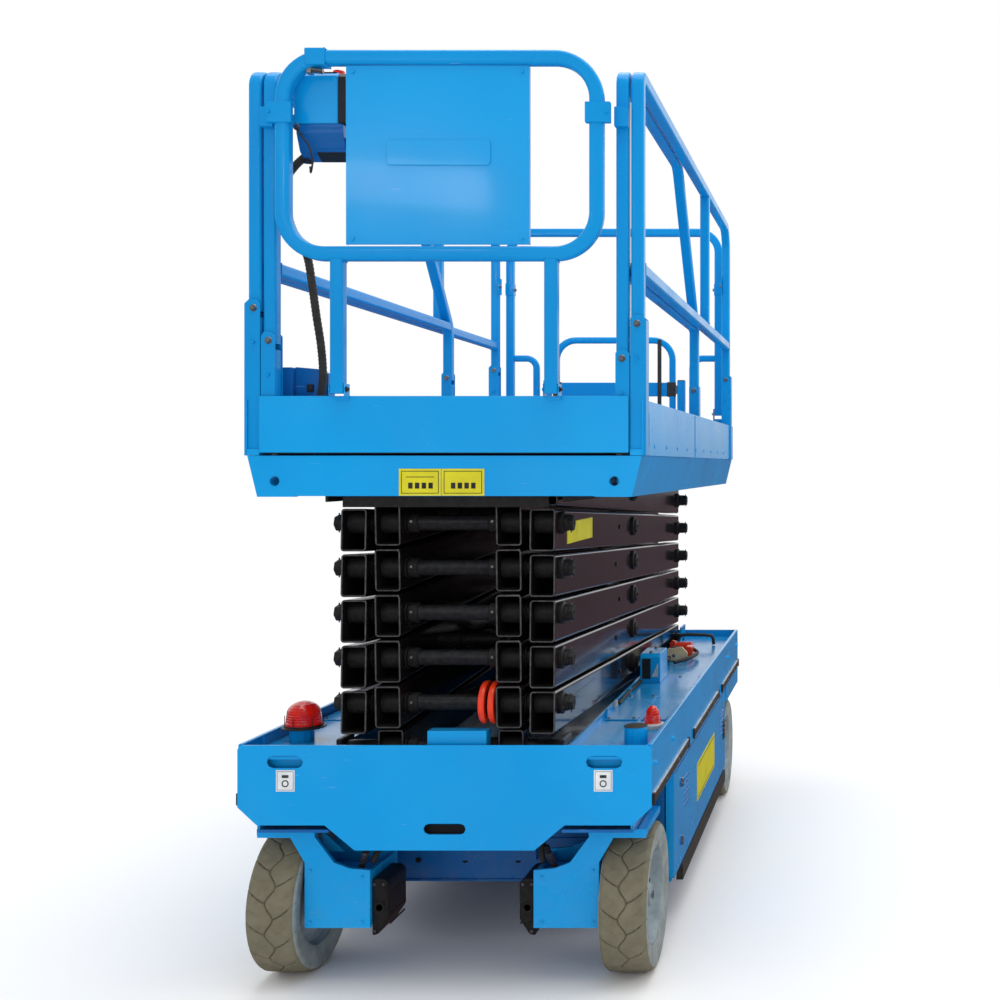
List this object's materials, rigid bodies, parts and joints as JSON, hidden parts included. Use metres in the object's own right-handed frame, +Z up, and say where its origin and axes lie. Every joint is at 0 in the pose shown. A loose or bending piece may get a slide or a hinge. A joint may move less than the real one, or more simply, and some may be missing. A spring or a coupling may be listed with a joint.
{
  "type": "self-propelled scissor lift platform",
  "caption": "Self-propelled electric scissor lift table with stacked crossed arms, railed platform, roll-out deck, folding guardrails, rear gate and steered front wheels.",
  "frame": {"origin": "on the ground, midway between the sides and midway along the machine, platform fully lowered", "axes": "+Z up, +X to the machine's right, the steered end faces -Y"},
  "size_m": [1.106, 2.424, 2.513],
  "materials": {
    "blue_paint": "gloss powder coat",
    "black_paint": "gloss black paint",
    "steel": "machined",
    "hard_chrome": "hard chrome",
    "tyre": "non-marking solid tyre",
    "rim": "grey paint",
    "lens": "clear red",
    "black_plastic": "moulded"
  },
  "bodies": {
    "chassis": {"chassis_frame": "blue_paint", "front_plate": "blue_paint", "entry_ladder": "blue_paint", "beacon_left": "lens", "beacon_right": "lens", "base_pivot_shaft": "steel"},
    "outer_arms_1": {"outer_arm_1": "black_paint"},
    "inner_arms_1": {"inner_arm_1": "black_paint"},
    "outer_arms_2": {"outer_arm_2": "black_paint"},
    "inner_arms_2": {"inner_arm_2": "black_paint"},
    "outer_arms_3": {"outer_arm_3": "black_paint"},
    "inner_arms_3": {"inner_arm_3": "black_paint"},
    "outer_arms_4": {"outer_arm_4": "black_paint"},
    "inner_arms_4": {"inner_arm_4": "black_paint"},
    "outer_arms_5": {"outer_arm_5": "black_paint"},
    "inner_arms_5": {"inner_arm_5": "black_paint"},
    "outer_arms_6": {"outer_arm_6": "black_paint"},
    "inner_arms_6": {"inner_arm_6": "black_paint"},
    "platform": {"platform_frame": "blue_paint", "toe_board_left": "blue_paint", "toe_board_right": "blue_paint", "rear_frame": "blue_paint", "platform_pivot_shaft": "steel"},
    "base_slide": {"base_slide_shaft": "steel"},
    "platform_slide": {"platform_slide_shaft": "steel"},
    "lower_barrel": {"lower_cylinder_barrel": "black_paint"},
    "lower_rod": {"lower_cylinder_rod": "hard_chrome"},
    "upper_barrel": {"upper_cylinder_barrel": "black_paint"},
    "upper_rod": {"upper_cylinder_rod": "hard_chrome"},
    "extension": {"extension_deck": "blue_paint", "front_loop": "blue_paint", "front_panel": "blue_paint"},
    "joystick": {"joystick": "black_plastic"},
    "emergency_stop": {"emergency_stop": "lens"},
    "main_rail_left": {"main_rail_left": "blue_paint"},
    "extension_rail_left": {"extension_rail_left": "blue_paint", "control_box": "blue_paint"},
    "main_rail_right": {"main_rail_right": "blue_paint"},
    "extension_rail_right": {"extension_rail_right": "blue_paint"},
    "rear_rail": {"rear_rail": "blue_paint"},
    "gate": {"gate": "blue_paint"},
    "steer_left": {"steer_yoke_left": "blue_paint"},
    "steer_right": {"steer_yoke_right": "blue_paint"},
    "tie_rod": {"tie_rod": "steel"},
    "wheel_front_left": {"tyre_front_left": "tyre", "wheel_hub_front_left": "rim"},
    "wheel_front_right": {"tyre_front_right": "tyre", "wheel_hub_front_right": "rim"},
    "wheel_rear_left": {"tyre_rear_left": "tyre", "wheel_hub_rear_left": "rim"},
    "wheel_rear_right": {"tyre_rear_right": "tyre", "wheel_hub_rear_right": "rim"},
    "door_left": {"door_left": "blue_paint", "battery_1": "black_plastic", "battery_2": "black_plastic"},
    "door_right": {"door_right": "blue_paint", "hydraulic_tank": "black_paint", "pump_motor": "black_plastic"},
    "pothole_guard_left": {"pothole_guard_left": "black_paint"},
    "pothole_guard_right": {"pothole_guard_right": "black_paint"}
  },
  "joints": [
    {"name": "lift", "type": "hinge", "parent": "chassis", "child": "outer_arms_1", "pos_m": [0, 1.07, 0.646], "axis": [-1, 0, 0], "range_deg": [0, 56]},
    {"name": "arm_cross_1", "type": "hinge", "parent": "outer_arms_1", "child": "inner_arms_1", "pos_m": [0, 0, 0.7075], "axis": [-1, 0, 0], "range_deg": [-112, 0]},
    {"name": "arm_end_1", "type": "hinge", "parent": "inner_arms_1", "child": "outer_arms_2", "pos_m": [0, 1.07, 0.769], "axis": [-1, 0, 0], "range_deg": [0, 112]},
    {"name": "arm_cross_2", "type": "hinge", "parent": "outer_arms_2", "child": "inner_arms_2", "pos_m": [0, 0, 0.8305], "axis": [-1, 0, 0], "range_deg": [-112, 0]},
    {"name": "arm_end_2", "type": "hinge", "parent": "inner_arms_2", "child": "outer_arms_3", "pos_m": [0, 1.07, 0.892], "axis": [-1, 0, 0], "range_deg": [0, 112]},
    {"name": "arm_cross_3", "type": "hinge", "parent": "outer_arms_3", "child": "inner_arms_3", "pos_m": [0, 0, 0.9535], "axis": [-1, 0, 0], "range_deg": [-112, 0]},
    {"name": "arm_end_3", "type": "hinge", "parent": "inner_arms_3", "child": "outer_arms_4", "pos_m": [0, 1.07, 1.015], "axis": [-1, 0, 0], "range_deg": [0, 112]},
    {"name": "arm_cross_4", "type": "hinge", "parent": "outer_arms_4", "child": "inner_arms_4", "pos_m": [0, 0, 1.0765], "axis": [-1, 0, 0], "range_deg": [-112, 0]},
    {"name": "arm_end_4", "type": "hinge", "parent": "inner_arms_4", "child": "outer_arms_5", "pos_m": [0, 1.07, 1.138], "axis": [-1, 0, 0], "range_deg": [0, 112]},
    {"name": "arm_cross_5", "type": "hinge", "parent": "outer_arms_5", "child": "inner_arms_5", "pos_m": [0, 0, 1.1995], "axis": [-1, 0, 0], "range_deg": [-112, 0]},
    {"name": "arm_end_5", "type": "hinge", "parent": "inner_arms_5", "child": "outer_arms_6", "pos_m": [0, 1.07, 1.261], "axis": [-1, 0, 0], "range_deg": [0, 112]},
    {"name": "arm_cross_6", "type": "hinge", "parent": "outer_arms_6", "child": "inner_arms_6", "pos_m": [0, 0, 1.3225], "axis": [-1, 0, 0], "range_deg": [-112, 0]},
    {"name": "platform_level", "type": "hinge", "parent": "inner_arms_6", "child": "platform", "pos_m": [0, 1.07, 1.384], "axis": [-1, 0, 0], "range_deg": [0, 56]},
    {"name": "base_slide_level", "type": "hinge", "parent": "inner_arms_1", "child": "base_slide", "pos_m": [0, -1.07, 0.646], "axis": [-1, 0, 0], "range_deg": [0, 56]},
    {"name": "platform_slide_level", "type": "hinge", "parent": "outer_arms_6", "child": "platform_slide", "pos_m": [0, -1.07, 1.384], "axis": [-1, 0, 0], "range_deg": [-56, 0]},
    {"name": "lower_barrel_pivot", "type": "hinge", "parent": "inner_arms_1", "child": "lower_barrel", "pos_m": [0, 0.92448, 0.76064], "axis": [-1, 0, 0], "range_deg": [0, 118.98]},
    {"name": "lower_rod_slide", "type": "slide", "parent": "lower_barrel", "child": "lower_rod", "axis": [0, -0.9965, 0.0831], "range_m": [0, 0.6057]},
    {"name": "upper_barrel_pivot", "type": "hinge", "parent": "inner_arms_4", "child": "upper_barrel", "pos_m": [0, 0.92448, 1.12964], "axis": [-1, 0, 0], "range_deg": [0, 118.98]},
    {"name": "upper_rod_slide", "type": "slide", "parent": "upper_barrel", "child": "upper_rod", "axis": [0, -0.9965, 0.0831], "range_m": [0, 0.6057]},
    {"name": "deck_rollout", "type": "slide", "parent": "platform", "child": "extension", "axis": [0, -1, 0], "range_m": [0, 0.9]},
    {"name": "joystick_tilt", "type": "hinge", "parent": "extension_rail_left", "child": "joystick", "pos_m": [-0.36, -1.104, 2.474], "axis": [1, 0, 0], "range_deg": [-20, 20]},
    {"name": "emergency_stop_press", "type": "slide", "parent": "extension_rail_left", "child": "emergency_stop", "axis": [0, 0, -1], "range_m": [0, 0.005]},
    {"name": "left_rail_fold", "type": "hinge", "parent": "platform", "child": "main_rail_left", "pos_m": [-0.5125, 0, 1.839], "axis": [0, 1, 0], "range_deg": [0, 90]},
    {"name": "left_extension_rail_fold", "type": "hinge", "parent": "extension", "child": "extension_rail_left", "pos_m": [-0.4725, 0, 1.752], "axis": [0, 1, 0], "range_deg": [0, 90]},
    {"name": "right_rail_fold", "type": "hinge", "parent": "platform", "child": "main_rail_right", "pos_m": [0.5125, 0, 1.797], "axis": [0, -1, 0], "range_deg": [0, 90]},
    {"name": "right_extension_rail_fold", "type": "hinge", "parent": "extension", "child": "extension_rail_right", "pos_m": [0.4725, 0, 1.704], "axis": [0, -1, 0], "range_deg": [0, 90]},
    {"name": "rear_rail_fold", "type": "hinge", "parent": "platform", "child": "rear_rail", "pos_m": [0, 1.13, 1.65], "axis": [1, 0, 0], "range_deg": [0, 90]},
    {"name": "gate_swing", "type": "hinge", "parent": "platform", "child": "gate", "pos_m": [-0.282, 1.108, 1.6], "axis": [0, 0, 1], "range_deg": [-90, 0]},
    {"name": "steer", "type": "hinge", "parent": "chassis", "child": "steer_left", "pos_m": [-0.452, -0.957, 0.42], "axis": [0, 0, 1], "range_deg": [-30, 30]},
    {"name": "steer_right", "type": "hinge", "parent": "chassis", "child": "steer_right", "pos_m": [0.452, -0.957, 0.42], "axis": [0, 0, 1], "range_deg": [-30, 30]},
    {"name": "tie_rod_joint", "type": "hinge", "parent": "steer_left", "child": "tie_rod", "pos_m": [-0.452, -0.807, 0.42], "axis": [0, 0, 1], "range_deg": [-30, 30]},
    {"name": "front_left_wheel_spin", "type": "hinge", "parent": "steer_left", "child": "wheel_front_left", "pos_m": [-0.472, -0.957, 0.203], "axis": [1, 0, 0], "continuous": true},
    {"name": "front_right_wheel_spin", "type": "hinge", "parent": "steer_right", "child": "wheel_front_right", "pos_m": [0.472, -0.957, 0.203], "axis": [1, 0, 0], "continuous": true},
    {"name": "rear_left_wheel_spin", "type": "hinge", "parent": "chassis", "child": "wheel_rear_left", "pos_m": [-0.472, 0.893, 0.203], "axis": [1, 0, 0], "continuous": true},
    {"name": "rear_right_wheel_spin", "type": "hinge", "parent": "chassis", "child": "wheel_rear_right", "pos_m": [0.472, 0.893, 0.203], "axis": [1, 0, 0], "continuous": true},
    {"name": "left_door_swing", "type": "hinge", "parent": "chassis", "child": "door_left", "pos_m": [-0.549, 0.669, 0.33], "axis": [0, 0, -1], "range_deg": [0, 90]},
    {"name": "left_pothole_guard_drop", "type": "hinge", "parent": "chassis", "child": "pothole_guard_left", "pos_m": [-0.4, 0, 0.146], "axis": [0, -1, 0], "range_deg": [0, 28]},
    {"name": "right_door_swing", "type": "hinge", "parent": "chassis", "child": "door_right", "pos_m": [0.549, 0.669, 0.33], "axis": [0, 0, 1], "range_deg": [0, 90]},
    {"name": "right_pothole_guard_drop", "type": "hinge", "parent": "chassis", "child": "pothole_guard_right", "pos_m": [0.4, 0, 0.146], "axis": [0, 1, 0], "range_deg": [0, 28]}
  ],
  "couplings": [
    {"joint": "arm_cross_1", "follows": "lift", "ratio": -2},
    {"joint": "arm_end_1", "follows": "lift", "ratio": 2},
    {"joint": "arm_cross_2", "follows": "lift", "ratio": -2},
    {"joint": "arm_end_2", "follows": "lift", "ratio": 2},
    {"joint": "arm_cross_3", "follows": "lift", "ratio": -2},
    {"joint": "arm_end_3", "follows": "lift", "ratio": 2},
    {"joint": "arm_cross_4", "follows": "lift", "ratio": -2},
    {"joint": "arm_end_4", "follows": "lift", "ratio": 2},
    {"joint": "arm_cross_5", "follows": "lift", "ratio": -2},
    {"joint": "arm_end_5", "follows": "lift", "ratio": 2},
    {"joint": "arm_cross_6", "follows": "lift", "ratio": -2},
    {"joint": "platform_level", "follows": "lift", "ratio": 1},
    {"joint": "base_slide_level", "follows": "lift", "ratio": 1},
    {"joint": "platform_slide_level", "follows": "lift", "ratio": -1},
    {"joint": "lower_barrel_pivot", "follows": "lift", "ratio": 2.1244},
    {"joint": "lower_rod_slide", "follows": "lift", "m_per_rad": 0.61949},
    {"joint": "upper_barrel_pivot", "follows": "lift", "ratio": 2.1244},
    {"joint": "upper_rod_slide", "follows": "lift", "m_per_rad": 0.61949},
    {"joint": "left_extension_rail_fold", "follows": "left_rail_fold", "ratio": 1},
    {"joint": "right_extension_rail_fold", "follows": "right_rail_fold", "ratio": 1},
    {"joint": "steer_right", "follows": "steer", "ratio": 1},
    {"joint": "tie_rod_joint", "follows": "steer", "ratio": -1}
  ]
}
